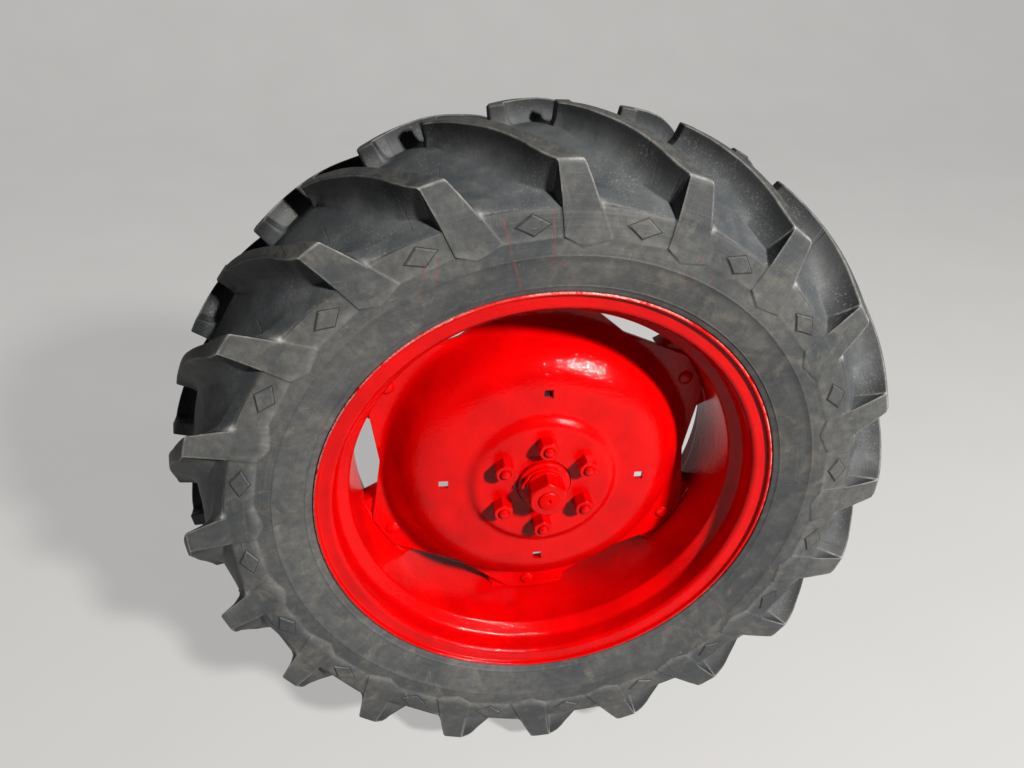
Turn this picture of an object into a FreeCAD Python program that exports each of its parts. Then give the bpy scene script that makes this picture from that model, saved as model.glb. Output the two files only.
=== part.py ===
"""Left rear wheel of a farm tractor, on its hub and the outer end of its axle housing.

Lengths are in millimetres. The origin is the centre of the housing's inboard bolt face, on the
axle. +Z is up, +Y points inboard to the tractor, +X to the tractor's rear. The wheel's outer side
faces -Y. Axial places are measured from the wheel's mid-plane, positive inboard, and angles run
counter-clockwise from +X as seen from the outer side.
"""
import math
import os

import FreeCAD
import Part

os.makedirs("parts", exist_ok=True)
V = FreeCAD.Vector

# Place of the wheel on the axle
housing_reach = 300.0

# Rim, a 10 inch wide by 28 inch drop-centre rim
rim_seat_r = 355.6
rim_flange_height = 25.4
rim_width = 254.0
rim_lip_reach = 13.0
rim_plate = 6.0
rim_ledge = 32.0
rim_well_depth = 28.1
rim_well_outer = 80.0
rim_well_inner = 65.0
rim_slope = 12.0

# Tyre, 12.4 inch section
tread_r = 614.0
crown_drop = 44.0
tread_half_width = 158.0
section_bulge = 3.0
bulge_share = 0.744
shoulder_depth = 56.0
lug_depth = 33.0
crown_thickness = 20.0
wall_thickness = 13.0
shoulder_thickness = 25.0
bead_collar = 3.0
bead_width = 23.0
bead_fit = 0.3

# Lugs
lug_count = 20
lug_phase = 0.65
lug_overlap = 8.0
lug_root = 9.0
floor_break = 0.45
floor_fall = 6.0

# Wheel disc
disc_plate = 8.0
disc_inset = 11.0
disc_turn = -1.4
dish_depth = 78.0
boss_rise = 10.0
boss_r = 117.5
boss_slope = 15.5
dome_lean = 52.0
dome_bend = 50.0
dome_foot_inset = 29.0
dome_foot_bend = 20.0
bend_chords = 1
lobe_gap = 3.5
lobe_half_angle = 7.0
notch_depth = 44.0
square_hole = 16.0
square_hole_circle_r = 172.0
square_hole_count = 4

# Rim loops and the nuts behind them
loop_count = 6
loop_bolt_inset = 24.5
loop_half_width = 76.0
loop_height = 43.5
loop_plate = 8.0
loop_depth = 40.0
loop_nut_af = 24.0
loop_nut_height = 14.0

# Hub and its nuts
stud_count = 6
stud_circle_r = 82.0
wheel_nut_af = 31.0
wheel_nut_height = 25.0
hub_flange_inset = 6.5
hub_flange = 18.0
hub_pilot_r = 46.0
hub_pilot_reach = 14.0
hub_barrel_r = 58.0
hub_length = 71.0
pilot_gap = 2.0
edge_bevel = 2.0

# Half shaft and its nut
shaft_seat_r = 28.0
shaft_thread_r = 17.0
shaft_thread_tail = 3.0
journal_r = 35.0
shaft_body_r = 31.0
spline_reach = 60.0
spline_length = 75.0
spline_root_r = 26.0
spline_count = 10
axle_nut_af = 60.0
axle_nut_height = 42.0

# Axle housing and its bearing retainer
retainer_gap = 10.0
retainer_plate = 8.0
retainer_r = 92.0
retainer_bore_gap = 4.0
retainer_bolt_circle_r = 77.0
retainer_bolt_count = 6
retainer_bolt_af = 19.0
retainer_bolt_head = 8.0
bearing_width = 32.0
bearing_running_gap = 0.05
housing_tube_r = 62.0
housing_wall = 13.0
housing_taper = 52.0
mount_flange_r = 125.0
mount_flange = 16.0
mount_bolt_circle_r = 105.0
mount_bolt_count = 6
mount_hole_r = 8.0
flare_length = 48.0
flare_rise = 25.0

# Places worked out from the sizes above
mid_y = -housing_reach
half_rim = rim_width / 2.0
lip_r = rim_seat_r + rim_flange_height
rim_well_r = rim_seat_r - rim_well_depth
shoulder_r = tread_r - crown_drop
void_edge_r = shoulder_r - shoulder_depth
bulge_r = lip_r + bulge_share * (void_edge_r - lip_r)
loop_bolt_circle_r = rim_well_r - loop_bolt_inset
loop_inner_r = rim_well_r - loop_height
lobe_r = rim_well_r - lobe_gap
notch_r = lobe_r - notch_depth
dome_foot_r = loop_bolt_circle_r - dome_foot_inset
dome_r = dome_foot_r - dome_lean
hub_flange_r = boss_r - hub_flange_inset
first_lobe = 180.0 / loop_count + disc_turn
disc_flange_front = disc_inset
annulus_front = disc_flange_front - dish_depth
boss_front = annulus_front - boss_rise
boss_back = boss_front + disc_plate
hub_back = boss_back + hub_length
retainer_front = hub_back + retainer_gap
retainer_back = retainer_front + retainer_plate
bearing_back = retainer_back + bearing_width
loop_front = disc_flange_front + disc_plate
loop_back = loop_front + loop_plate
pilot_front = boss_front - (hub_pilot_reach - disc_plate)
nut_front = pilot_front - axle_nut_height


def turned(profile):
    """Solid turned about the axle from (axial, radius) corners."""
    corners = [V(0, mid_y + axial, radius) for axial, radius in profile]
    face = Part.Face(Part.makePolygon(corners + corners[:1]))
    return face.revolve(V(0, 0, 0), V(0, 1, 0), 360)


def ring(axial, length, inner_r, outer_r):
    return turned([(axial, inner_r), (axial + length, inner_r), (axial + length, outer_r), (axial, outer_r)])


def rod(axial, length, radius, centre_r=0.0):
    """Cylinder along the axle's direction, at a distance from it at angle 0."""
    return Part.makeCylinder(radius, length, V(centre_r, mid_y + axial, 0), V(0, 1, 0))


def hexagon(axial, length, across_flats, centre_r=0.0):
    corner_r = across_flats / math.sqrt(3.0)
    corners = [around_axle(axial, corner_r, 60.0 * k) + V(centre_r, 0, 0) for k in range(6)]
    return Part.Face(Part.makePolygon(corners + corners[:1])).extrude(V(0, length, 0))


def spun(shape, angle):
    """Copy turned counter-clockwise about the axle as seen from the outer side."""
    copy = shape.copy()
    copy.rotate(V(0, 0, 0), V(0, -1, 0), angle)
    return copy


def around(shape, count, first_angle=0.0):
    return [spun(shape, first_angle + 360.0 * k / count) for k in range(count)]


def mirrored(shape):
    return shape.mirror(V(0, mid_y, 0), V(0, 1, 0))


def shifted(corners, distance):
    """The open line of corners moved sideways to its left by a distance, with mitred bends."""
    moved = []
    for k, (a, b) in enumerate(corners):
        before = corners[max(k - 1, 0)]
        after = corners[min(k + 1, len(corners) - 1)]
        normals = []
        for start, end in ((before, (a, b)), ((a, b), after)):
            run = (end[0] - start[0], end[1] - start[1])
            length = math.hypot(*run)
            if length:
                normals.append((-run[1] / length, run[0] / length))
        mean = (sum(n[0] for n in normals), sum(n[1] for n in normals))
        scale = 2 * distance / (mean[0] ** 2 + mean[1] ** 2) if len(normals) == 2 else distance
        moved.append((a + mean[0] * scale, b + mean[1] * scale))
    return moved


def bent(corners, bends):
    """Corners of the open line with each bend replaced by chords of its tangent arc."""
    line = [corners[0]]
    for before, corner, after, bend in zip(corners, corners[1:], corners[2:], bends[1:-1]):
        if not bend:
            line.append(corner)
            continue
        here = V(corner[0], corner[1], 0)
        back = (V(before[0], before[1], 0) - here).normalize()
        ahead = (V(after[0], after[1], 0) - here).normalize()
        half_turn = back.getAngle(ahead) / 2.0
        centre = here + (back + ahead).normalize() * (bend / math.sin(half_turn))
        start = here + back * (bend / math.tan(half_turn)) - centre
        end = here + ahead * (bend / math.tan(half_turn)) - centre
        sweep = start.getAngle(end)
        for k in range(bend_chords + 1):
            share = k / bend_chords
            spoke = start * (math.sin((1 - share) * sweep) / math.sin(sweep))
            spoke = spoke + end * (math.sin(share * sweep) / math.sin(sweep))
            line.append((centre.x + spoke.x, centre.y + spoke.y))
    line.append(corners[-1])
    return line


def turned_plate(corners, bends, thickness):
    """Plate of one thickness turned about the axle. Each bend is the radius on the given line."""
    near = bent(corners, bends)
    return turned(near + shifted(near, thickness)[::-1])


def solid_between(sections):
    """Solid with flat faces between sections that have the same number of corners."""
    faces = [Part.Face(Part.makePolygon(end + end[:1])) for end in (sections[0], sections[-1])]
    for first, second in zip(sections, sections[1:]):
        for k in range(len(first)):
            n = (k + 1) % len(first)
            quad = [first[k], first[n], second[n], second[k]]
            lift = (quad[1] - quad[0]).cross(quad[2] - quad[0]).normalize().dot(quad[3] - quad[0])
            flat = abs(lift) < 1e-6
            pieces = [quad] if flat else [quad[:3], [quad[0], quad[2], quad[3]]]
            faces += [Part.Face(Part.makePolygon(piece + piece[:1])) for piece in pieces]
    solid = Part.makeSolid(Part.makeShell(faces))
    if solid.Volume < 0:
        solid.reverse()
    return solid


def around_axle(axial, radius, angle):
    """Point at a radius and an angle from +X, counter-clockwise as seen from the outer side."""
    turn = math.radians(angle)
    return V(radius * math.cos(turn), mid_y + axial, radius * math.sin(turn))


def save(name, shape):
    solids = shape.Solids if hasattr(shape, "Solids") else [s for piece in shape for s in piece.Solids]
    for solid in solids:
        if not solid.isValid():
            raise ValueError(name + " is not valid")
    whole = solids[0] if len(solids) == 1 else Part.makeCompound(solids)
    whole.exportStep("parts/" + name + ".step")


def make_rim():
    lip_face = -half_rim - rim_lip_reach
    ledge_end = -half_rim + rim_ledge
    # axial place and radius of the plate's tyre side, from the inner lip to the outer lip
    corners = [
        (-lip_face, lip_r),
        (half_rim, lip_r),
        (half_rim, rim_seat_r),
        (rim_well_inner + rim_slope, rim_seat_r),
        (rim_well_inner, rim_well_r + rim_plate),
        (-rim_well_outer, rim_well_r + rim_plate),
        (ledge_end, rim_seat_r),
        (-half_rim, rim_seat_r),
        (-half_rim, lip_r),
        (lip_face, lip_r),
    ]
    return turned_plate(corners, [0.0] * len(corners), rim_plate)


def crest_radius(axial):
    """Radius of the lug tops at a distance from the mid-plane, on an arc across the tread."""
    arc = (tread_half_width**2 + crown_drop**2) / (2 * crown_drop)
    return tread_r - arc + math.sqrt(arc**2 - axial**2)


def floor_line():
    """Axial distance and radius of the ground between the lugs, from the middle to the shoulder."""
    floor_r = tread_r - lug_depth
    return [(floor_break * tread_half_width, floor_r - floor_fall), (tread_half_width - 1.0, void_edge_r)]


def ground_radius(outboard):
    """Radius of the ground between the lugs at a distance from the mid-plane."""
    middle, edge = floor_line()
    share = min(max((outboard - middle[0]) / (edge[0] - middle[0]), 0.0), 1.0)
    return middle[1] + (edge[1] - middle[1]) * share


def faceted(half):
    """Solid round the axle, flat between the lug pitches, from one half's (axial, radius) corners."""
    facet = 180.0 / lug_count
    rings = []
    for axial, radius in [(-a, r) for a, r in reversed(half)] + half:
        corner_r = radius / math.cos(math.radians(facet / 2.0))
        rings.append([around_axle(axial, corner_r, lug_phase + facet * k) for k in range(2 * lug_count)])
    return solid_between(rings)


def make_tyre():
    bead_outer = half_rim - bead_fit
    bead_r = rim_seat_r + bead_fit
    bulge = tread_half_width + section_bulge
    lip_clear = lip_r + bead_fit
    lip_edge = half_rim + rim_lip_reach
    floor = floor_line()
    casing = faceted(floor + [(bulge, bulge_r), (lip_edge, lip_clear + bead_collar)])
    cavity = faceted([
        (floor[0][0], floor[0][1] - crown_thickness),
        (floor[1][0] - shoulder_thickness, floor[1][1]),
        (bulge - wall_thickness, bulge_r),
        (half_rim - bead_width, lip_clear),
        (half_rim - bead_width, bead_r - rim_plate),
    ])
    rim_envelope = turned([
        (-lip_edge - 1.0, 0.0),
        (-lip_edge - 1.0, lip_clear),
        (-bead_outer, lip_clear),
        (-bead_outer, bead_r),
        (bead_outer, bead_r),
        (bead_outer, lip_clear),
        (lip_edge + 1.0, lip_clear),
        (lip_edge + 1.0, 0.0),
    ])
    casing = casing.cut([cavity, rim_envelope])
    lug = make_lug()
    outer_lugs = around(lug, lug_count, lug_phase)
    inner_lugs = around(mirrored(lug), lug_count, lug_phase + 180.0 / lug_count)
    return casing.multiFuse(outer_lugs + inner_lugs)


def make_lug():
    """One lug of the outer side, its shoulder end at angle 0, running past the mid-plane."""
    # share of half the tread outboard, then in degrees: advance, half width, foot spread ahead and behind
    plan = [
        (1.00, -0.5, 1.80, -1.0, 3.0),
        (0.75, 3.9, 1.45, 0.3, 1.9),
        (0.30, 11.2, 1.15, 0.6, 1.3),
        (-lug_overlap / tread_half_width, 16.3, 1.05, 0.6, 1.0),
    ]
    sections = []
    for share, advance, half_width, ahead, behind in plan:
        outboard = share * tread_half_width
        top_r = crest_radius(outboard)
        foot_r = ground_radius(abs(outboard)) - lug_root
        sections.append([
            around_axle(-outboard, foot_r, advance - half_width - behind),
            around_axle(-outboard, top_r, advance - half_width),
            around_axle(-outboard, top_r, advance + half_width),
            around_axle(-outboard, foot_r, advance + half_width + ahead),
        ])
    return solid_between(sections)


def star_outline(axial, length):
    """Prism with the disc flange's outline: six bolt lobes with a shallow notch between them."""
    edges = []
    pitch = 360.0 / loop_count
    for k in range(loop_count):
        lobe = first_lobe + pitch * k
        start = around_axle(axial, lobe_r, lobe - lobe_half_angle)
        middle = around_axle(axial, lobe_r, lobe)
        end = around_axle(axial, lobe_r, lobe + lobe_half_angle)
        notch = around_axle(axial, notch_r, lobe + pitch / 2.0)
        following = around_axle(axial, lobe_r, lobe + pitch - lobe_half_angle)
        edges.append(Part.Arc(start, middle, end).toShape())
        edges.append(Part.LineSegment(end, notch).toShape())
        edges.append(Part.LineSegment(notch, following).toShape())
    return Part.Face(Part.Wire(edges)).extrude(V(0, length, 0))


def make_disc():
    past_lobes = lobe_r + disc_plate
    # axial place, radius and bend of the plate's front, from past the lobes to the bore
    rows = [
        (disc_flange_front, past_lobes, 0.0),
        (disc_flange_front, dome_foot_r, dome_foot_bend),
        (annulus_front, dome_r, dome_bend),
        (annulus_front, boss_r + boss_slope, 0.0),
        (boss_front, boss_r, 0.0),
        (boss_front, hub_pilot_r + pilot_gap, 0.0),
    ]
    corners = [(axial, radius) for axial, radius, _ in rows]
    bends = [bend for _, _, bend in rows]
    disc = turned_plate(corners, bends, disc_plate)
    reach = disc_flange_front - boss_front + disc_plate
    disc = disc.common(star_outline(boss_front - disc_plate, reach + 2 * disc_plate))
    square = Part.makeBox(
        square_hole,
        dish_depth,
        square_hole,
        V(square_hole_circle_r - square_hole / 2.0, mid_y + annulus_front - disc_plate, -square_hole / 2.0),
    )
    return disc.cut(Part.makeCompound(around(square, square_hole_count, disc_turn)))


def make_loop():
    """Bridge of bent plate welded to the rim, at angle 0: a web with two legs."""
    width = 2 * loop_half_width
    outline = [
        (loop_front, 0.0),
        (loop_front, width),
        (loop_front + loop_depth, width),
        (loop_front + loop_depth, width - loop_plate),
        (loop_back, width - loop_plate),
        (loop_back, loop_plate),
        (loop_front + loop_depth, loop_plate),
        (loop_front + loop_depth, 0.0),
    ]
    corners = [V(loop_inner_r, mid_y + axial, across - loop_half_width) for axial, across in outline]
    bridge = Part.Face(Part.makePolygon(corners + corners[:1])).extrude(V(rim_well_r - loop_inner_r, 0, 0))
    return bridge.common(rod(loop_front - 1.0, loop_depth + 2.0, rim_well_r))


def make_hub():
    flange_back = boss_back + hub_flange
    return turned([
        (pilot_front, shaft_seat_r),
        (pilot_front, hub_pilot_r),
        (boss_back, hub_pilot_r),
        (boss_back, hub_flange_r),
        (flange_back, hub_flange_r),
        (flange_back, hub_barrel_r),
        (hub_back, hub_barrel_r),
        (hub_back, shaft_seat_r),
    ])


def make_shaft():
    tip = nut_front - shaft_thread_tail
    spline_end = housing_reach + spline_reach
    shaft = turned([
        (tip, 0.0),
        (tip, shaft_thread_r - edge_bevel),
        (tip + edge_bevel, shaft_thread_r),
        (pilot_front + edge_bevel, shaft_thread_r),
        (pilot_front + edge_bevel, shaft_seat_r),
        (hub_back, shaft_seat_r),
        (hub_back, journal_r),
        (bearing_back, journal_r),
        (bearing_back, shaft_body_r),
        (spline_end, shaft_body_r),
        (spline_end, 0.0),
    ])
    tooth_width = math.pi * spline_root_r / spline_count
    groove = Part.makeBox(
        shaft_body_r,
        spline_length,
        tooth_width,
        V(spline_root_r, mid_y + spline_end - spline_length, -tooth_width / 2.0),
    )
    return shaft.cut(Part.makeCompound(around(groove, spline_count)))


def make_axle_nut():
    thread = rod(nut_front - 1.0, axle_nut_height + 2.0, shaft_thread_r)
    return hexagon(nut_front, axle_nut_height, axle_nut_af).cut(thread)


def make_housing():
    """Outer end of the axle housing: bearing end, tapered tube and flared bolt flange."""
    flange_start = housing_reach - mount_flange
    flare_start = flange_start - flare_length
    taper_start = bearing_back + edge_bevel
    tube_bore_r = housing_tube_r - housing_wall
    bearing_r = journal_r + bearing_running_gap
    housing = turned([
        (retainer_back, bearing_r),
        (retainer_back, retainer_r),
        (taper_start, retainer_r),
        (taper_start + housing_taper, housing_tube_r),
        (flare_start, housing_tube_r),
        (flange_start, housing_tube_r + flare_rise),
        (flange_start, mount_flange_r),
        (housing_reach, mount_flange_r),
        (housing_reach, tube_bore_r),
        (bearing_back, tube_bore_r),
        (bearing_back, bearing_r),
    ])
    mount_hole = rod(flange_start - 1.0, mount_flange + 2.0, mount_hole_r, mount_bolt_circle_r)
    return housing.cut(Part.makeCompound(around(mount_hole, mount_bolt_count, 180.0 / mount_bolt_count)))


wheel_nut = hexagon(boss_front - wheel_nut_height, wheel_nut_height, wheel_nut_af, stud_circle_r)
loop_nut = hexagon(loop_back, loop_nut_height, loop_nut_af, loop_bolt_circle_r)
retainer_bolt = hexagon(
    retainer_front - retainer_bolt_head,
    retainer_bolt_head,
    retainer_bolt_af,
    retainer_bolt_circle_r,
)

save("tyre", make_tyre())
save("rim", make_rim())
save("wheel_disc", make_disc())
save("rim_loops", around(make_loop(), loop_count, first_lobe))
save("loop_nuts", around(loop_nut, loop_count, first_lobe))
save("hub", make_hub())
save("wheel_nuts", around(wheel_nut, stud_count, first_lobe))
save("half_shaft", make_shaft())
save("axle_nut", make_axle_nut())
save("axle_housing", make_housing())
save("bearing_retainer", ring(retainer_front, retainer_plate, journal_r + retainer_bore_gap, retainer_r))
save("retainer_bolts", around(retainer_bolt, retainer_bolt_count))
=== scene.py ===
"""Looks of a tractor's left rear wheel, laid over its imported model.

Everything is in metres in the model's own frame: +Z up, +Y inboard along the axle, the wheel's
outer side facing -Y. Form sizes below are millimetres and are turned to metres by MM. Axial
places are measured from the wheel's mid-plane, positive inboard. Angles are in degrees and run
counter-clockwise from +X as seen from the outer side.
"""
import math

import bmesh
import bpy
import numpy as np
from mathutils import Matrix, Vector


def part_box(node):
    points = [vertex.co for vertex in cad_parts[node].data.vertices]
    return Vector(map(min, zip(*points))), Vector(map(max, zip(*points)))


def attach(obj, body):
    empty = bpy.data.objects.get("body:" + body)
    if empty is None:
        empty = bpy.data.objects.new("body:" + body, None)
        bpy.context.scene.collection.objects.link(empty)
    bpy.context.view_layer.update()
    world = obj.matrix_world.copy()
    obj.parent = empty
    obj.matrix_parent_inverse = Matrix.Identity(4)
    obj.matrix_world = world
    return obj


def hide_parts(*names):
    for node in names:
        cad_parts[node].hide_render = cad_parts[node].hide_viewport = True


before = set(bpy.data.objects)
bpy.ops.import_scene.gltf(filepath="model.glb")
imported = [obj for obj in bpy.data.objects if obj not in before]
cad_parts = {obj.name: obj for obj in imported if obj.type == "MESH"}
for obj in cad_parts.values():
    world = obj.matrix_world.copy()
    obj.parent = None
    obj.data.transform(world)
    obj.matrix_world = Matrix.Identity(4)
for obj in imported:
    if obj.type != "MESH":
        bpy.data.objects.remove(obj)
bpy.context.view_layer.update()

MM = 0.001
tyre_low, tyre_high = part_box("tyre")
rim_low, rim_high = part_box("rim")
MID_Y = (tyre_low.y + tyre_high.y) / 2.0 / MM
FLOOR_Z = tyre_low.z

# Tyre
tread_r = tyre_high.z / MM
side_reach = (tyre_high.y - tyre_low.y) / 2.0 / MM
crown_drop = 44.0
tread_half_width = 158.0
void_edge_s = 157.0
void_edge_r = 510.5
void_floor_r = 581.0
void_floor_power = 2.2
void_bend_s = 118.0
void_tilt = 3.5
void_arch_depth = 4.0
lug_count = 20
lug_phase = 0.65
pitch = 360.0 / lug_count
lug_columns = 36
edge_round = 1.3
nose_reach = 7.5
nose_foot = 15.0
panel_rise = 1.5
step_top = 1.8
step_foot = 1.6
step_foot_s = 157.4

# Rim
lip_r = rim_high.z / MM
rim_half = (rim_high.y - rim_low.y) / 2.0 / MM
seat_r = lip_r - 25.4
flange_s = rim_half - 13.0
rim_plate = 6.0
well_r = 327.5
ledge_s = 95.0
well_outer_s = 80.0
well_inner_s = 65.0
inner_slope = 12.0

# Disc, its bolts and loops
disc_plate = 8.0
disc_turn = -1.4
lobe_count = 6
lobe_pitch = 360.0 / lobe_count
first_lobe = lobe_pitch / 2.0 + disc_turn
flange_front = 11.0
loop_front = flange_front + disc_plate
boss_front = -77.0
annulus_front = -67.0
boss_r = 117.5
boss_slope = 15.5
dome_r = 222.0
dome_foot_r = 274.0
foot_start_r = 267.0
bore_r = 48.0
lobe_r = 324.0
notch_r = 280.0
lobe_half_angle = 7.0
plate_edge_round = 0.8
square_hole = 16.0
square_hole_r = 172.0
bolt_circle_r = 303.0
bolt_r = 8.0
loop_half_width = 76.0
loop_inner_r = 284.0

# Hub, studs, nuts and shaft
stud_circle_r = 82.0
stud_r = 9.0
stud_tail = 6.0
wheel_nut_height = 25.0
wheel_nut_af = 31.0
pilot_front = boss_front - 6.0
hub_front = boss_front + disc_plate
hub_back = hub_front + 71.0
hub_seat_r = 28.0
washer_front = pilot_front - 4.0
axle_nut_height = 42.0
axle_nut_af = 60.0
axle_nut_front = pilot_front - axle_nut_height
shaft_tip = axle_nut_front - 3.0
shaft_r = 17.0
shaft_body_r = 31.0
spline_root_r = 26.0
spline_count = 10


def smoothstep(low, high, value):
    share = min(max((value - low) / (high - low), 0.0), 1.0)
    return share * share * (3.0 - 2.0 * share)


def polar_points(axial, radius, angle, centre_r=0.0):
    """Points in metres from axial places, radii and angles about the axle or a line beside it."""
    turn = np.radians(angle)
    radius = radius + 0.0 * turn
    return np.stack([
        (centre_r + radius * np.cos(turn)) * MM,
        (MID_Y + axial) * MM + 0.0 * radius,
        radius * np.sin(turn) * MM,
    ], axis=-1)


def grid_faces(rows, columns, close_rows, close_columns, first=0):
    """Four-sided faces over a grid of points, numbered row by row from first."""
    row_count = rows if close_rows else rows - 1
    column_count = columns if close_columns else columns - 1
    r, c = np.meshgrid(np.arange(row_count), np.arange(column_count), indexing="ij")
    here = r * columns
    beyond = (r + 1) % rows * columns
    c_next = (c + 1) % columns
    quads = np.stack([here + c, here + c_next, beyond + c_next, beyond + c], -1)
    return (first + quads.reshape(-1, 4)).tolist()


def rod_faces(rows, segments):
    """Faces over rings of points, with a fan at each end to the two centres that follow the rings."""
    faces = grid_faces(rows, segments, False, True)
    first, last = rows * segments, rows * segments + 1
    last_ring = (rows - 1) * segments
    for c in range(segments):
        n = (c + 1) % segments
        faces.append([first, n, c])
        faces.append([last, last_ring + c, last_ring + n])
    return faces


def make_object(name, points, faces, material, sharp_angle=32.0, outward=True):
    """Mesh object, smooth but for edges over sharp_angle, with its faces turned outward if asked."""
    mesh = bpy.data.meshes.new(name)
    mesh.from_pydata([tuple(p) for p in points], [], faces)
    mesh.validate()
    if outward:
        work = bmesh.new()
        work.from_mesh(mesh)
        bmesh.ops.recalc_face_normals(work, faces=work.faces)
        work.to_mesh(mesh)
        work.free()
    mesh.polygons.foreach_set("use_smooth", [True] * len(mesh.polygons))
    mesh.set_sharp_from_angle(angle=math.radians(sharp_angle))
    mesh.materials.append(material)
    piece = bpy.data.objects.new(name, mesh)
    bpy.context.scene.collection.objects.link(piece)
    return piece


def add_mask(piece, name, values):
    """Number for each point of a piece, which its material reads by name."""
    piece.data.attributes.new(name, "FLOAT", "POINT").data.foreach_set("value", values)


def join_forms(forms):
    """One list of points and one of faces from several forms."""
    points, faces, count = [], [], 0
    for form_points, form_faces in forms:
        points.append(np.asarray(form_points, float))
        faces += [[i + count for i in face] for face in form_faces]
        count += len(form_points)
    return np.concatenate(points), faces


def rounded(corners):
    """Line of (axial, radius) points with arcs at its (axial, radius, bend, steps) corners."""
    line = []
    count = len(corners)
    for k, (axial, radius, bend, steps) in enumerate(corners):
        here = np.array([axial, radius], float)
        if not bend:
            line.append(tuple(here))
            continue
        back = np.array(corners[k - 1][:2], float) - here
        ahead = np.array(corners[(k + 1) % count][:2], float) - here
        back /= np.linalg.norm(back)
        ahead /= np.linalg.norm(ahead)
        half_turn = math.acos(np.clip(back @ ahead, -1.0, 1.0)) / 2.0
        centre = here + (back + ahead) / np.linalg.norm(back + ahead) * bend / math.sin(half_turn)
        start = here + back * bend / math.tan(half_turn) - centre
        end = here + ahead * bend / math.tan(half_turn) - centre
        sweep = math.acos(np.clip(start @ end / bend**2, -1.0, 1.0))
        for i in range(steps + 1):
            share = i / steps
            spoke = start * math.sin((1 - share) * sweep) + end * math.sin(share * sweep)
            line.append(tuple(centre + spoke / math.sin(sweep)))
    return line


def turned_form(line, segments, centre_r=0.0):
    """Closed (axial, radius) line turned about the axle, or about a line at angle 0 and centre_r."""
    angle = np.arange(segments) * 360.0 / segments
    points = [polar_points(a, r, angle, centre_r) for a, r in line]
    return np.concatenate(points), grid_faces(len(line), segments, True, True)


def rod_form(line, segments, centre_r=0.0):
    """Solid turned from an open (axial, radius) line whose ends are closed by flat fans."""
    points, _ = turned_form(line, segments, centre_r)
    ends = [[centre_r * MM, (MID_Y + axial) * MM, 0.0] for axial in (line[0][0], line[-1][0])]
    return np.concatenate([points, ends]), rod_faces(len(line), segments)


def spun_form(form, angle):
    """Form turned about the axle."""
    points, faces = form
    turn = Matrix.Rotation(math.radians(angle), 3, (0.0, -1.0, 0.0))
    return np.asarray(points) @ np.array(turn).T, faces


def at_lobes(forms):
    """Six forms made at angle 0, each turned to its own lobe of the disc."""
    return join_forms([spun_form(form, first_lobe + lobe_pitch * k) for k, form in enumerate(forms)])


def nut_form(front, height, across_flats, bore, centre_r=0.0, turn_angle=0.0, segments=72):
    """Hexagon nut with chamfered corners on its outer face. A negative height faces it inboard."""
    angle = np.arange(segments) * 360.0 / segments
    from_flat = (angle - turn_angle) % 60.0 - 30.0
    half = across_flats / 2.0
    corner = half / math.cos(math.radians(30.0))
    hexagon = np.minimum(half / np.cos(np.radians(from_flat)), 0.985 * corner)
    chamfer_r = 0.98 * half
    fall = (hexagon - chamfer_r) * math.tan(math.radians(30.0))
    way = math.copysign(1.0, height)
    rows = [
        (height, bore),
        (1.2 * way, bore),
        (0.0, bore + 1.2),
        (0.0, chamfer_r),
        (way * (fall - 0.2), hexagon - 0.5),
        (way * (fall + 0.5), hexagon),
        (height - 0.6 * way, hexagon),
        (height, hexagon - 0.6),
    ]
    points = [polar_points(front + a, r, angle, centre_r) for a, r in rows]
    return np.concatenate(points), grid_faces(len(rows), segments, True, True)


def set_inputs(shader_node, inputs):
    """Sets a shader node's inputs, each to a value or to another node's output."""
    for key, value in inputs.items():
        if isinstance(value, bpy.types.NodeSocket):
            shader_node.id_data.links.new(value, shader_node.inputs[key])
        else:
            shader_node.inputs[key].default_value = value


def node(kind, inputs=(), tree=None, **settings):
    """New shader node, in the tree of the first output among its inputs if none is given."""
    inputs = dict(inputs)
    if tree is None:
        tree = next(v.id_data for v in inputs.values() if isinstance(v, bpy.types.NodeSocket))
    made = tree.nodes.new(kind)
    for key, value in settings.items():
        setattr(made, key, value)
    set_inputs(made, inputs)
    return made


def math_node(operation, *values):
    return node("ShaderNodeMath", enumerate(values), operation=operation).outputs[0]


def times(first, second):
    return math_node("MULTIPLY", first, second)


def weighted_sum(parts):
    """Sum of (value, weight) pairs."""
    total = times(*parts[0])
    for value, weight in parts[1:]:
        total = math_node("MULTIPLY_ADD", value, weight, total)
    return total


def mix_colour(share, first, second):
    """First colour turning to the second as share goes from 0 to 1."""
    first, second = ((*c, 1.0) if isinstance(c, tuple) else c for c in (first, second))
    return node("ShaderNodeMix", {0: share, 6: first, 7: second}, data_type="RGBA").outputs[2]


def tinted(colour, share, amount, tint):
    """Colour with an amount of a tint laid over it where share says."""
    return mix_colour(times(share, amount), colour, tint)


def ramp(value, low, high):
    """Soft step of a value from 0 at low to 1 at high."""
    limits = {"Value": value, "From Min": low, "From Max": high}
    return node("ShaderNodeMapRange", limits, interpolation_type="SMOOTHSTEP").outputs[0]


def noise(vector, scale, detail=4.0, roughness=0.55, distortion=0.0):
    inputs = {"Vector": vector, "Scale": scale, "Detail": detail}
    inputs |= {"Roughness": roughness, "Distortion": distortion}
    return node("ShaderNodeTexNoise", inputs).outputs[0]


def stretched_noise(vector, scales, detail, roughness=0.55, distortion=0.0):
    """Noise with a scale of its own along each of the vector's three ways."""
    stretched = node("ShaderNodeVectorMath", {0: vector, 1: scales}, operation="MULTIPLY")
    return noise(stretched.outputs[0], 1.0, detail, roughness, distortion)


def mask(place, name):
    """Mask that a mesh holds, in the tree that a place on it is in."""
    return node("ShaderNodeAttribute", tree=place.id_data, attribute_name=name).outputs["Fac"]


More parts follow.
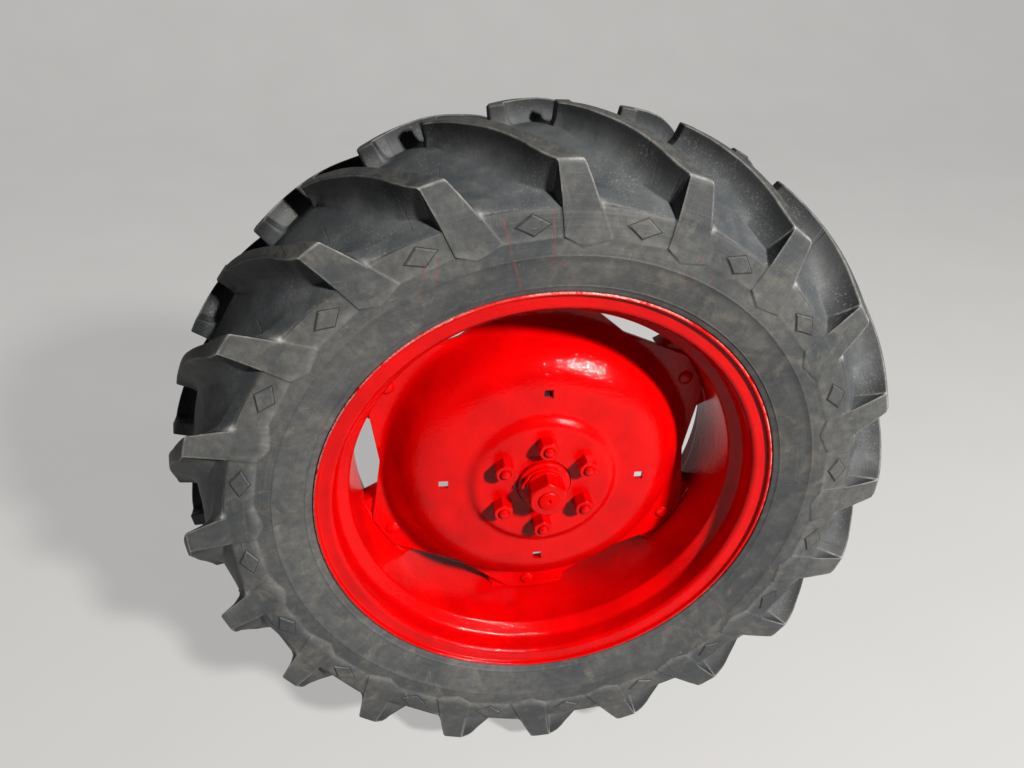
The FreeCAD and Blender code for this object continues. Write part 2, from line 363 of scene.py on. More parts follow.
def new_material(name):
    """Material with its shader and the place on the object."""
    material = bpy.data.materials.new(name)
    material.use_nodes = True
    tree = material.node_tree
    tree.nodes.clear()
    shader = node("ShaderNodeBsdfPrincipled", tree=tree)
    node("ShaderNodeOutputMaterial", {0: shader.outputs[0]})
    place = node("ShaderNodeTexCoord", tree=tree).outputs["Object"]
    return material, shader, place


def polar_place(place):
    """Vector of (angle in radians, radius, axial place) from an object's place."""
    x, y, z = node("ShaderNodeSeparateXYZ", {0: place}).outputs
    turn = math_node("ARCTAN2", z, x)
    radius = math_node("SQRT", weighted_sum([(x, x), (z, z)]))
    return node("ShaderNodeCombineXYZ", {0: turn, 1: radius, 2: y}).outputs[0]


def bump(height, strength, distance, base=None):
    """Normal with the relief of a height, over another normal if one is given."""
    inputs = {"Height": height, "Strength": strength, "Distance": distance}
    if base:
        inputs["Normal"] = base
    return node("ShaderNodeBump", inputs).outputs[0]


RED = (0.66, 0.0004, 0.0008)
DEEP_RED = (0.52, 0.0003, 0.0008)
SPECK_RED = (0.25, 0.002, 0.003)
CHALKY_RED = (0.78, 0.36, 0.32)
RUSTY_RED = (0.45, 0.12, 0.09)
DULL_STEEL = (0.42, 0.41, 0.40)
BRIGHT_STEEL = (0.60, 0.60, 0.60)


def red_paint(name, worn_lip=False, cast=False, peel_depth=0.0008):
    """Thick glossy red paint over plate or cast steel, with orange peel and small runs and specks."""
    material, shader, place = new_material(name)
    colour = mix_colour(ramp(noise(place, 11.0, 3.0), 0.35, 0.7), RED, DEEP_RED)
    specks = ramp(noise(place, 260.0, 1.0), 0.76, 0.8)
    colour = mix_colour(specks, colour, SPECK_RED)
    peel = noise(place, 215.0, 1.5, 0.5)
    runs = noise(place, 70.0, 2.0, 0.5)
    dents = noise(place, 16.0, 1.0, 0.4)
    heights = [(peel, 0.30), (runs, 0.55), (dents, 1.2)]
    if cast:
        heights.append((noise(place, 120.0, 5.0, 0.65), 1.4))
    shade = math_node("MULTIPLY_ADD", noise(place, 34.0, 3.0), 0.16, 0.22)
    if worn_lip:
        chips = ramp(noise(place, 60.0, 5.0, 0.7), 0.36, 0.50)
        stretches = ramp(noise(place, 7.0, 3.0), 0.34, 0.60)
        bare = times(mask(place, "worn"), times(chips, stretches))
        fine = ramp(noise(place, 400.0, 2.0), 0.4, 0.6)
        pale = mix_colour(fine, CHALKY_RED, RUSTY_RED)
        colour = mix_colour(bare, colour, pale)
        shade = math_node("MULTIPLY_ADD", bare, 0.4, shade)
        heights.append((bare, -0.5))
    normal = bump(weighted_sum(heights), 0.6, 0.0013)
    set_inputs(shader, {
        "Base Color": colour,
        "Roughness": shade,
        "Specular IOR Level": 0.03,
        "Normal": normal,
        "Coat Weight": 0.32,
        "Coat Roughness": 0.05,
        "Coat Normal": bump(peel, 1.0, peel_depth, normal),
    })
    return material


DARK_RUBBER = (0.054, 0.058, 0.061)
GREY_RUBBER = (0.112, 0.112, 0.107)
BROWN_DUST = (0.175, 0.160, 0.132)
PIT_BLACK = (0.02, 0.021, 0.022)
STAIN_GREY = (0.046, 0.048, 0.052)
SCRATCH_GREY = (0.27, 0.26, 0.235)
RING_GREY = (0.22, 0.215, 0.20)
SPOKE_GREY = (0.05, 0.05, 0.05)
# the two void colours are painted shade: a blue-grey darkening laid into the tread's voids
VOID_SHADE_DARK = (0.042, 0.049, 0.056)
VOID_SHADE_GREY = (0.078, 0.083, 0.086)
SCUFF_BROWN = (0.155, 0.148, 0.132)
# near black for painted shade on the lugs' flanks; the lug tops are also darkened a third of the way to
# it
FLANK_SHADE_BLACK = (0.010, 0.011, 0.013)
SPECKLE_GREY = (0.19, 0.19, 0.18)
WORN_GREY = (0.42, 0.41, 0.385)
SMEAR_RED = (0.22, 0.045, 0.04)
# near black that darkens the groove round each lozenge
GROOVE_BLACK = (0.018, 0.018, 0.019)

# runs of red paint down the tyre's wall, each from one place to another, (x, z)
paint_runs = [
    ((-21.0, 507.0), (-17.0, 431.0)),
    ((-87.0, 494.0), (-78.0, 458.0)),
    ((-78.0, 458.0), (-59.0, 390.0)),
    ((-189.0, 455.0), (-197.0, 388.0)),
    ((-172.0, 443.0), (-180.0, 390.0)),
    ((-6.0, 434.0), (18.0, 400.0)),
]
run_outer = 2.2
run_core = 0.6


def paint_run(x, z, start, end):
    """Mask of a thin streak between two places on the wheel's face."""
    x0, z0, x1, z1 = (v * MM for v in (*start, *end))
    length = math.hypot(x1 - x0, z1 - z0)
    way_x = (x1 - x0) / length
    way_z = (z1 - z0) / length
    from_x = math_node("SUBTRACT", x, x0)
    from_z = math_node("SUBTRACT", z, z0)
    along = weighted_sum([(from_x, way_x), (from_z, way_z)])
    across = math_node("ABSOLUTE", weighted_sum([(from_x, way_z), (from_z, -way_x)]))
    from_middle = math_node("ABSOLUTE", math_node("SUBTRACT", along, length / 2.0))
    inside = math_node("LESS_THAN", from_middle, length / 2.0)
    return times(inside, ramp(across, run_outer * MM, run_core * MM))


def wall_colour(place, mottle, rings, spokes):
    """Grey rubber with brown dust, dark pits and stains, pale scratches and fine rings."""
    cloud = noise(place, 7.0, 5.0, 0.6, 0.6)
    colour = mix_colour(ramp(cloud, 0.34, 0.68), DARK_RUBBER, GREY_RUBBER)
    dust = ramp(noise(place, 17.0, 7.0, 0.66, 1.2), 0.50, 0.70)
    colour = tinted(colour, dust, 0.70, BROWN_DUST)
    pitted = mix_colour(0.48, colour, PIT_BLACK)
    colour = mix_colour(ramp(mottle, 0.30, 0.75), pitted, colour)
    stains = ramp(noise(place, 24.0, 6.0, 0.65, 0.8), 0.52, 0.64)
    colour = tinted(colour, stains, 0.40, STAIN_GREY)
    scratches = [
        ramp(stretched_noise(place, scales, 5.0, 0.65, 3.0), 0.62, 0.72)
        for scales in ((150.0, 60.0, 28.0), (26.0, 60.0, 140.0))
    ]
    patches = ramp(noise(place, 8.0, 3.0), 0.42, 0.60)
    scratched = times(math_node("MAXIMUM", *scratches), patches)
    colour = tinted(colour, scratched, 0.34, SCRATCH_GREY)
    colour = tinted(colour, ramp(rings, 0.62, 0.72), 0.12, RING_GREY)
    return tinted(colour, spokes, 0.30, SPOKE_GREY)


def tread_colour(place, colour):
    """Adds painted shade that darkens the voids, pale specks in them, scuffed and darkened lug tops,
    painted shade on the flanks and worn edges.
    """
    hollow = mask(place, "hollow")
    crest = mask(place, "crest")
    # painted shade: the voids are darkened towards a blue-grey
    dark = mix_colour(ramp(noise(place, 26.0), 0.35, 0.7), VOID_SHADE_DARK, VOID_SHADE_GREY)
    colour = tinted(colour, hollow, 0.72, dark)
    scuffs = ramp(noise(place, 55.0, 6.0, 0.75), 0.45, 0.62)
    colour = tinted(colour, crest, times(scuffs, 0.5), SCUFF_BROWN)
    # painted shade: the lugs' flanks are darkened to near black below their top edges, fading towards the
    # void floor; the lug tops are darkened a third of the way to the same black
    flank_shade = times(ramp(hollow, 1.02, 0.16), ramp(hollow, 0.0, 0.08))
    shaded = math_node("MAXIMUM", times(crest, 0.34), times(flank_shade, 0.95))
    colour = mix_colour(shaded, colour, FLANK_SHADE_BLACK)
    specks = ramp(noise(place, 340.0, 2.0, 0.6), 0.56, 0.72)
    specks = times(specks, ramp(noise(place, 13.0), 0.40, 0.62))
    specks = times(specks, ramp(hollow, 0.0, 0.5))
    colour = tinted(colour, specks, 0.60, SPECKLE_GREY)
    rub = ramp(noise(place, 40.0, 5.0, 0.7), 0.40, 0.62)
    rubbed = math_node("MULTIPLY_ADD", rub, 0.50, 0.30)
    return tinted(colour, mask(place, "worn"), rubbed, WORN_GREY)


def smeared_colour(place, polar, colour):
    """Adds smears and runs of the rim's paint on the wall."""
    smears = ramp(stretched_noise(polar, (40.0, 9.0, 9.0), 5.0, 0.7, 1.0), 0.60, 0.66)
    patches = ramp(noise(place, 5.0, 2.0), 0.60, 0.66)
    red = times(smears, times(patches, 0.45))
    x, _, z = node("ShaderNodeSeparateXYZ", {0: place}).outputs
    broken = ramp(noise(place, 45.0, 3.0), 0.30, 0.62)
    for start, end in paint_runs:
        run = times(paint_run(x, z, start, end), broken)
        red = math_node("MAXIMUM", red, times(run, 0.55))
    return tinted(colour, red, mask(place, "wall"), SMEAR_RED)


def weathered_rubber(name, casing):
    """Old dark grey tyre rubber: the casing's with its masks, or the lozenges' with a darker groove."""
    material, shader, place = new_material(name)
    polar = polar_place(place)
    mottle = noise(place, 70.0, 6.0, 0.7)
    rings = stretched_noise(polar, (2.2, 230.0, 30.0), 3.0, 0.6)
    spokes = ramp(stretched_noise(polar, (60.0, 7.0, 9.0), 4.0, 0.65), 0.60, 0.72)
    colour = wall_colour(place, mottle, rings, spokes)
    if casing:
        colour = tread_colour(place, colour)
        colour = smeared_colour(place, polar, colour)
        soft_edges = node("ShaderNodeBevel", {"Radius": 0.0035}, tree=place.id_data, samples=4).outputs[0]
    else:
        # darker in the groove round each lozenge
        colour = mix_colour(mask(place, "groove_dark"), colour, GROOVE_BLACK)
        soft_edges = None
    grain = noise(place, 420.0, 3.0, 0.6)
    lumps = noise(place, 36.0)
    height = weighted_sum([(grain, 0.22), (lumps, 0.75), (rings, 0.35), (spokes, -0.30)])
    set_inputs(shader, {
        "Base Color": colour,
        "Roughness": math_node("MULTIPLY_ADD", mottle, 0.30, 0.46),
        "Specular IOR Level": 0.42,
        "Normal": bump(height, 0.8, 0.0014, soft_edges),
    })
    return material


def shaft_steel(name, painted_to):
    """Turned steel with faint marks, painted red outboard of a place along the axle."""
    material, shader, place = new_material(name)
    axial = node("ShaderNodeSeparateXYZ", {0: place}).outputs[1]
    bare = math_node("GREATER_THAN", axial, painted_to * MM)
    stains = ramp(noise(place, 60.0, 5.0, 0.65), 0.35, 0.7)
    steel = mix_colour(stains, DULL_STEEL, BRIGHT_STEEL)
    marks = stretched_noise(polar_place(place), (1.5, 900.0, 1400.0), 2.0)
    set_inputs(shader, {
        "Base Color": mix_colour(bare, RED, steel),
        "Metallic": bare,
        "Roughness": math_node("MULTIPLY_ADD", marks, 0.22, 0.27),
        "Specular IOR Level": 0.12,
        "Normal": bump(marks, 0.25, 0.0004),
    })
    return material


tyre_rubber = weathered_rubber("tyre_rubber", casing=True)
mark_rubber = weathered_rubber("mark_rubber", casing=False)
rim_paint = red_paint("rim_paint", worn_lip=True)
disc_paint = red_paint("disc_paint")
bolt_paint = red_paint("bolt_paint", peel_depth=0.0005)
cast_paint = red_paint("cast_paint", cast=True)
shaft_material = shaft_steel("shaft_steel", MID_Y + pilot_front)


# distance from the mid-plane, the lug's trailing and leading top edges in degrees from its shoulder
# centre, and the foot's spread behind and ahead
lug_edges = np.array([
    (0.0, 14.70, 16.95, 1.1, 0.55),
    (13.0, 14.50, 16.60, 1.1, 0.55),
    (17.0, 13.55, 15.75, 1.2, 0.65),
    (38.0, 11.15, 13.30, 1.4, 1.80),
    (61.0, 8.60, 11.05, 1.6, 2.20),
    (83.0, 6.55, 8.65, 1.9, 2.30),
    (104.0, 4.45, 6.70, 2.1, 2.20),
    (122.0, 2.65, 5.05, 2.3, 1.90),
    (134.0, 0.95, 4.20, 2.4, 1.50),
    (147.0, -0.95, 2.95, 2.5, 0.95),
    (158.0, -2.35, 1.25, 2.6, 0.45),
])

# distances from the mid-plane of the tread's rows
tread_places = [
    0.0, 3.0, 6.0, 7.5, 8.5, 10.0, 12.0, 15.0, 19.0, 25.0, 32.0, 40.0, 50.0, 60.0, 70.0, 80.0, 90.0,
    100.0, 109.0, 118.0, 126.0, 133.0, 140.0, 146.0, 151.5, 156.3, 157.4,
]

# the lug's trailing foot and top edge, then its leading top edge and foot, in degrees from its
# shoulder centre: at the shoulder, at the void's end and at the raised zone's inner edge
shoulder_keys = np.array([-4.95, -2.35, 1.25, 1.55])
void_end_keys = np.array([-5.6, -5.35, 0.45, 0.65])
zone_keys = np.array([-8.15, -8.0, 0.0, 0.12])

# share of the way down the shoulder, distance from the mid-plane, and how much of the root's spot, of
# the void edge's wear and of the void's mask a row has
buttress_places = [
    (0.03, 158.6, 0.0, 0.0, 1.0),
    (0.12, 159.0, 0.0, 0.0, 1.0),
    (0.34, 159.3, 0.0, 0.0, 1.0),
    (0.62, 159.6, 0.0, 0.0, 1.0),
    (0.86, 159.9, 0.5, 0.0, 1.0),
    (1.0, 160.2, 1.0, 0.22, 0.4),
]

# share of the way down the raised zone, distance from the mid-plane, and how much of the root's spot
# and of plain wear a row has
zone_places = [
    (0.05, 157.6, 0.5, 0.0),
    (0.14, 158.3, 0.0, 0.0),
    (0.30, 158.8, 0.0, 0.0),
    (0.7, 159.0, 0.0, 0.0),
    (1.0, 158.8, 0.0, 0.25),
]

# corners of the raised zone's inner edge in one pitch: degrees from the lug's shoulder centre, radius
zone_corners = [(-8.0, 466.0), (-3.3, 454.0), (0.0, 467.0), (10.0, 466.0)]
zone_foot_s = 157.8
zone_foot_r = 444.0

# radius, distance from the mid-plane and rib height of the sidewall below the raised zone
sidewall = [
    (441.6, 156.5, 0.0), (440.6, 156.3, 0.9), (439.4, 156.1, 0.0), (429.0, 153.9, 0.0),
    (417.0, 151.0, 0.0), (405.0, 147.6, 0.0), (397.0, 145.2, 0.0), (393.4, 144.1, 0.0),
    (392.2, 143.7, 1.0), (391.0, 143.3, 0.0), (387.5, 142.0, 0.0), (384.6, 140.8, 0.0),
]

# distance from the mid-plane and radius, from the rim's lip round the bead and up inside the casing
bead_and_lining = [
    (139.7, 382.4), (131.0, 381.6), (127.4, 378.0), (127.3, 358.5), (125.0, 356.2),
    (102.0, 356.2), (99.3, 358.5), (114.0, 376.0), (138.0, 420.0), (147.0, 470.0),
    (142.0, 500.0), (110.0, 537.0), (60.0, 556.0), (0.0, 561.0),
]

# places across a lug's flanks, as shares of the foot's spread, and the height at each
back_shares = (0.0, 0.38, 0.74, 0.96)
back_heights = (0.0, 0.10, 0.42, 0.93)
ahead_shares = (0.05, 0.32, 1.0)
ahead_heights = (0.92, 0.30, 0.0)
top_columns = 6

# columns of one pitch: the trailing flank, the top, the leading flank down to its foot, the void
top_start = len(back_shares)
top_end = top_start + top_columns
flank_end = top_end + len(ahead_shares)
own_height = np.zeros(lug_columns)
own_height[:flank_end] = [*back_heights, *[1.0] * top_columns, *ahead_heights]
corner = np.zeros(lug_columns)
corner[[top_start, top_end - 1]] = 1.0
void_share = np.zeros(lug_columns)
void_share[flank_end - 1:] = np.linspace(0.0, 1.0, lug_columns - flank_end + 2)[:-1]
void_share[:top_start] = 1.0
void_slope = void_tilt * (2.0 * void_share - 1.0)
void_arch = void_arch_depth * np.sin(np.pi * void_share)
root_spot = (1.0 - 0.6 * own_height) * np.exp((void_share - 1.0) / 0.07)


def twin(columns):
    """Columns of a lug moved to the nose of the other side's lug, half a pitch on."""
    return np.roll(columns, lug_columns // 2)


def crest_radius(s):
    """Radius of the tread's arc over the lugs."""
    arc = (tread_half_width**2 + crown_drop**2) / (2.0 * crown_drop)
    return tread_r - arc + math.sqrt(arc**2 - s**2)


def floor_radius(s):
    """Radius of the voids' floor."""
    return void_floor_r - (void_floor_r - void_edge_r) * (s / void_edge_s) ** void_floor_power


def void_place(s):
    """Distance from the mid-plane of the void's floor in the row that runs over a lug at s."""
    return s if s < void_bend_s else void_bend_s + (s - void_bend_s) * 0.55


def chord_radius(start_r, end_r, span, past):
    """Radius on a straight line over a span of degrees, past its start by an angle."""
    span, past = math.radians(span), np.radians(past)
    return start_r * end_r * math.sin(span) / (start_r * np.sin(past) + end_r * np.sin(span - past))


def zone_edge_radius(angle):
    """Radius of the raised zone's inner edge, straight between its corners."""
    start = zone_corners[0][0]
    angle = (angle - start) % pitch + start
    radius = np.zeros_like(angle)
    for (a, r), (b, q) in zip(zone_corners, zone_corners[1:]):
        inside = (angle >= a) & (angle <= b)
        radius = np.where(inside, chord_radius(r, q, b - a, angle - a), radius)
    return radius


def pitch_angles(keys, centre_share=0.0, peak_share=0.65):
    """Column angles of one pitch. centre_share is 1 where the other side's nose shares the pitch."""
    trail_foot, trail_top, lead_top, lead_foot = keys
    own = np.concatenate([
        trail_foot + (trail_top - trail_foot) * np.array(back_shares),
        trail_top + (lead_top - trail_top) * np.array([0.0, 0.07, 0.35, peak_share, 0.93, 1.0]),
        lead_top + (lead_foot - lead_top) * np.array(ahead_shares),
    ])
    half = pitch / 2.0
    gap = np.linspace(lead_foot, trail_foot + half, lug_columns // 2 - flank_end + 2)[1:-1]
    shared = np.concatenate([own, gap, own + half, gap + half])
    void = np.linspace(lead_foot, trail_foot + pitch, lug_columns - flank_end + 2)[1:-1]
    plain = np.concatenate([own, void])
    return plain + (shared - plain) * centre_share


def casing_row(angles, distance, radius, hollow=0.0, crest=0.0, worn=0.0, wall=0.0):
    """One row of the casing, by column: angle, distance from the mid-plane, radius and four masks."""
    same = np.ones(lug_columns)
    return [same * v for v in (angles, distance, radius, hollow, crest, worn, wall)]


def tread_rows():
    """Rows over the lugs and voids, from the mid-plane out to the shoulder."""
    rows = []
    for s in tread_places:
        trail, lead, behind, ahead = (np.interp(s, lug_edges[:, 0], lug_edges[:, k]) for k in range(1, 5))
        centre_share = 1.0 - smoothstep(15.0, 40.0, s)
        angles = pitch_angles((trail - behind, trail, lead, lead + ahead), centre_share)
        nose = (1.0 - np.clip((s - nose_reach) / (nose_foot - nose_reach), 0.0, 1.0)) ** 2.4
        height = np.maximum(own_height, twin(own_height) * nose)
        edge = corner + twin(corner) * nose
        scoop = smoothstep(15.0, 60.0, s)
        void_s = void_place(s)
        floor = floor_radius(void_s) + scoop * (void_slope - void_arch)
        last = s == tread_places[-1]
        crest = crest_radius(s) - edge_round * (edge + last)
        edge_wear = 1.0 if s in tread_places[-2:] else 0.55
        rows.append(casing_row(
            angles, void_s + (s - void_s) * height, floor + (crest - floor) * height,
            hollow=1.0 - height, crest=height**3,
            worn=edge_wear * edge * own_height + 0.8 * height * last,
        ))
    return rows


def buttress_rows():
    """Rows down the shoulder, to the end of the voids."""
    top_r = crest_radius(tread_half_width) - 2.0
    first_void_s = void_place(tread_places[-1])
    rows = []
    for down, s, spot, void_wear, hollow in buttress_places:
        angles = pitch_angles(shoulder_keys + (void_end_keys - shoulder_keys) * down)
        void_s = first_void_s + (void_edge_s - first_void_s) * down
        floor = floor_radius(void_s) + void_slope - void_arch * (1.0 - 0.5 * down)
        lug_r = top_r + (void_edge_r - top_r) * down
        steep = own_height ** (1.0 - 0.6 * down)
        worn = 0.85 * corner * (1.0 - 0.6 * down) + spot * root_spot + void_wear * (1.0 - own_height)
        rows.append(casing_row(
            angles, void_s + (s - void_s) * steep, floor + (lug_r - floor) * steep,
            hollow=hollow * (1.0 - own_height), worn=worn,
        ))
    return rows


def wall_rows():
    """Rows of the raised zone, its zigzag step, the sidewall, the bead and the casing's inside."""
    outer_r = void_edge_r - 2.5 + 3.0 * void_share
    rows = []
    for down, s, spot, wear in zone_places:
        keys = void_end_keys + (zone_keys - void_end_keys) * down
        angles = pitch_angles(keys, peak_share=0.65 - 0.0625 * down)
        edge_r = zone_edge_radius(angles)
        radius = outer_r + (edge_r + step_top - outer_r) * down
        panel = panel_rise * own_height * (1.0 - 0.2 * down)
        rows.append(casing_row(angles, s + panel, radius, worn=wear + spot * root_spot, wall=1.0))
    rows.append(casing_row(angles, step_foot_s, edge_r - step_foot, wall=1.0))
    foot_r = np.minimum((edge_r + zone_foot_r) / 2.0, edge_r - 3.0)
    rows.append(casing_row(angles, zone_foot_s, foot_r, wall=1.0))
    even_angles = np.linspace(0.0, pitch, lug_columns + 1)[:-1] + angles[0] + 2.0
    inner_r = sidewall[-1][0]
    for radius, s, rib in sidewall:
        loose = smoothstep(450.0, inner_r, radius)
        rows.append(casing_row(angles + (even_angles - angles) * loose, s + rib, radius, wall=1.0))
    for s, radius in bead_and_lining:
        rows.append(casing_row(even_angles, s, radius))
    return rows


def make_tyre():
    """Casing of both halves, the inboard one mirrored and half a pitch on."""
    pitch_table = np.array(tread_rows() + buttress_rows() + wall_rows())
    table = np.tile(pitch_table, lug_count)
    table[:, 0] += np.repeat(np.arange(lug_count) * pitch, lug_columns)
    angles, distances, radii, masks = table[:, 0], table[:, 1], table[:, 2], table[:, 3:]
    outer = polar_points(-distances, radii, lug_phase + angles)
    inner = polar_points(distances, radii, lug_phase + pitch / 2.0 + angles)
    shift = lug_columns // 2
    points = np.concatenate([outer, np.roll(inner, shift, axis=1)[1:-1][::-1]])
    masks = np.concatenate([masks, np.roll(masks, shift, axis=2)[1:-1][::-1]])
    faces = grid_faces(len(points), lug_count * lug_columns, True, True)
    casing = make_object("tyre_casing", points.reshape(-1, 3), faces, tyre_rubber, 38.0)
    for k, name in enumerate(("hollow", "crest", "worn", "wall")):
        add_mask(casing, name, masks[:, k].ravel().astype(np.float32))
    return casing


lozenge_radial = 15.0
lozenge_along = 24.0
lozenge_bevel = 2.2
lozenge_groove = 1.3
lozenge_middle_r = 486.5
lozenge_steps = 5
groove_top = side_reach - 1.85

# rings of a lozenge from its foot to its top: size, distance from the mid-plane and how far the groove is
# darkened
lozenge_rings = [
    (1.0 + lozenge_groove / lozenge_radial, side_reach - 3.0, 1.0),
    (1.0 + lozenge_groove / lozenge_radial, groove_top, 1.0),
    (1.0, groove_top, 1.0),
    (0.995, groove_top, 0.0),
    (1.0 - lozenge_bevel / lozenge_radial, side_reach - 0.15, 0.0),
]


def lozenge_form(side, centre):
    """Raised lozenge on one side of the tyre, with a small groove round it."""
    shares = np.linspace(-1.0, 1.0, lozenge_steps)
    u, v = np.meshgrid(shares, shares, indexing="ij")
    last = lozenge_steps - 1
    edge = [(i, 0) for i in range(last)] + [(last, j) for j in range(last)]
    edge += [(last - i, last) for i in range(last)] + [(0, last - j) for j in range(last)]
    loops = []
    for size, distance, _ in lozenge_rings:
        r = lozenge_middle_r + lozenge_radial * size * (u + v) / 2.0
        a = centre + np.degrees(lozenge_along * size * (u - v) / 2.0 / lozenge_middle_r)
        grid = polar_points(side * distance, r, a)
        loops.append([grid[i, j] for i, j in edge])
    count = len(edge)
    faces = grid_faces(len(loops), count, False, True)
    faces += grid_faces(lozenge_steps, lozenge_steps, False, False, len(loops) * count)
    faces.append(list(range(count))[::-1])
    return np.concatenate([*loops, grid.reshape(-1, 3)]), faces


def make_lozenges():
    """Lozenges between the lugs' roots, on both sides of the tyre."""
    forms = []
    for side, shift in ((-1.0, 0.0), (1.0, pitch / 2.0)):
        forms += [lozenge_form(side, lug_phase + 5.0 + pitch * k + shift) for k in range(lug_count)]
    lozenges = make_object("tyre_lozenges", *join_forms(forms), mark_rubber, 30.0)
    ring_count = 4 * (lozenge_steps - 1)
    groove_dark = np.repeat([groove_dark for _, _, groove_dark in lozenge_rings], ring_count)
    groove_dark = np.concatenate([groove_dark, np.zeros(lozenge_steps**2)])
    add_mask(lozenges, "groove_dark", np.tile(groove_dark, len(forms)).astype(np.float32))
    return lozenges


tyre = make_tyre()
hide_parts("tyre")
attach(tyre, "wheel")

lozenges = make_lozenges()
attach(lozenges, "wheel")


def make_rim():
    """Drop-centre rim of rolled plate, from its tyre side round to its axle side."""
    lip_under = lip_r - rim_plate
    seat_under = seat_r - rim_plate
    wall_face = flange_s + rim_plate
    tyre_face = [(rim_half, lip_r, 2.9, 4), (flange_s, lip_r, 7.0, 6), (flange_s, seat_r, 3.0, 3)]
    axle_face = [
        (rim_half, lip_under, 2.9, 4),
        (wall_face, lip_under, 2.0, 3),
        (wall_face, seat_under, 10.0, 8),
    ]
    line = rounded([
        *[(-s, *rest) for s, *rest in tyre_face],
        (-ledge_s, seat_r, 8.0, 4),
        (-well_outer_s, well_r + rim_plate, 8.0, 4),
        (well_inner_s, well_r + rim_plate, 8.0, 4),
        (well_inner_s + inner_slope, seat_r, 8.0, 4),
        *tyre_face[::-1],
        *axle_face,
        (well_inner_s + inner_slope + 3.0, seat_under, 12.0, 6),
        (well_inner_s + 3.0, well_r, 8.0, 5),
        (-well_outer_s - 2.0, well_r, 8.0, 5),
        (-ledge_s - 2.0, seat_under, 12.0, 6),
        *[(-s, *rest) for s, *rest in axle_face[::-1]],
    ])
    segments = 288
    rim = make_object("rim_plate", *turned_form(line, segments), rim_paint, 40.0)
    places = np.array(line)
    lip = (np.abs(places[:, 0]) > rim_half - 3.2) & (places[:, 1] > lip_r - 2.6)
    add_mask(rim, "worn", np.repeat(lip.astype(np.float32), segments))
    return rim


def star_radius(angle):
    """Radius of the disc flange's outline: six lobes with shallow notches midway."""
    half_pitch = lobe_pitch / 2.0
    from_lobe = np.abs((angle - disc_turn) % lobe_pitch - half_pitch)
    slant = half_pitch - lobe_half_angle
    past = np.clip(from_lobe - lobe_half_angle, 0.0, slant)
    return np.where(from_lobe <= lobe_half_angle, lobe_r, chord_radius(lobe_r, notch_r, slant, past))


def disc_lines():
    """Front line of the disc from its bore out past its lobes, and its back line a plate behind."""
    corners = [
        (boss_front, bore_r, 0.0, 0),
        (boss_front, boss_r, 26.0, 8),
        (annulus_front, boss_r + boss_slope, 26.0, 8),
        (annulus_front, dome_r, 85.0, 20),
        (flange_front, dome_foot_r, 20.0, 10),
        (flange_front, lobe_r + 10.0, 0.0, 0),
    ]
    front = np.array(rounded(corners))
    run = np.gradient(front, axis=0)
    run /= np.linalg.norm(run, axis=1)[:, None]
    back = front + disc_plate * np.stack([run[:, 1], -run[:, 0]], axis=-1)
    return front, back


def square_hole_form():
    """Block through the disc where its square hole at angle 0 is."""
    half = square_hole / 2.0
    middle = annulus_front + 6.0
    corners = [
        ((square_hole_r + i * half) * MM, (MID_Y + middle + j * 16.0) * MM, k * half * MM)
        for i in (-1, 1) for j in (-1, 1) for k in (-1, 1)
    ]
    faces = [(0, 1, 3, 2), (4, 6, 7, 5), (0, 4, 5, 1), (2, 3, 7, 6), (0, 2, 6, 4), (1, 5, 7, 3)]
    return corners, faces


def cut_out(piece, form, sharp_angle):
    """Takes a form out of a piece."""
    cutter = make_object("hole_cutter", *form, disc_paint)
    cut = piece.modifiers.new("holes", "BOOLEAN")
    cut.operation = "DIFFERENCE"
    cut.solver = "EXACT"
    cut.object = cutter
    bpy.context.view_layer.update()
    shape = bpy.data.meshes.new_from_object(piece.evaluated_get(bpy.context.evaluated_depsgraph_get()))
    shape.set_sharp_from_angle(angle=math.radians(sharp_angle))
    piece.modifiers.clear()
    piece.data = shape
    bpy.data.objects.remove(cutter)


def make_disc():
    """Dished plate with a raised boss, a star-shaped flange and four square holes."""
    segments = 360
    angle = np.arange(segments) * 360.0 / segments
    star = star_radius(angle)
    flange_shares = (np.arange(1, 13) / 12.0) ** 1.5
    front_rows, back_rows = [], []
    for line, rows in zip(disc_lines(), (front_rows, back_rows)):
        rows += [(a, r) for a, r in line if r < foot_start_r]
        first_r = rows[-1][1]
        for share in flange_shares:
            r = first_r + (star - plate_edge_round - first_r) * share
            rows.append((np.interp(r, line[:, 1], line[:, 0]), r))
    edge = [(front_rows[-1][0] + plate_edge_round, star), (back_rows[-1][0] - plate_edge_round, star)]
    rows = front_rows + edge + back_rows[::-1]
    points = np.concatenate([polar_points(a, r, angle) for a, r in rows])
    disc = make_object("wheel_disc_plate", points, grid_faces(len(rows), segments, True, True),
                       disc_paint, 40.0)
    holes = [spun_form(square_hole_form(), 90.0 * k + disc_turn) for k in range(4)]
    cut_out(disc, join_forms(holes), 40.0)
    return disc


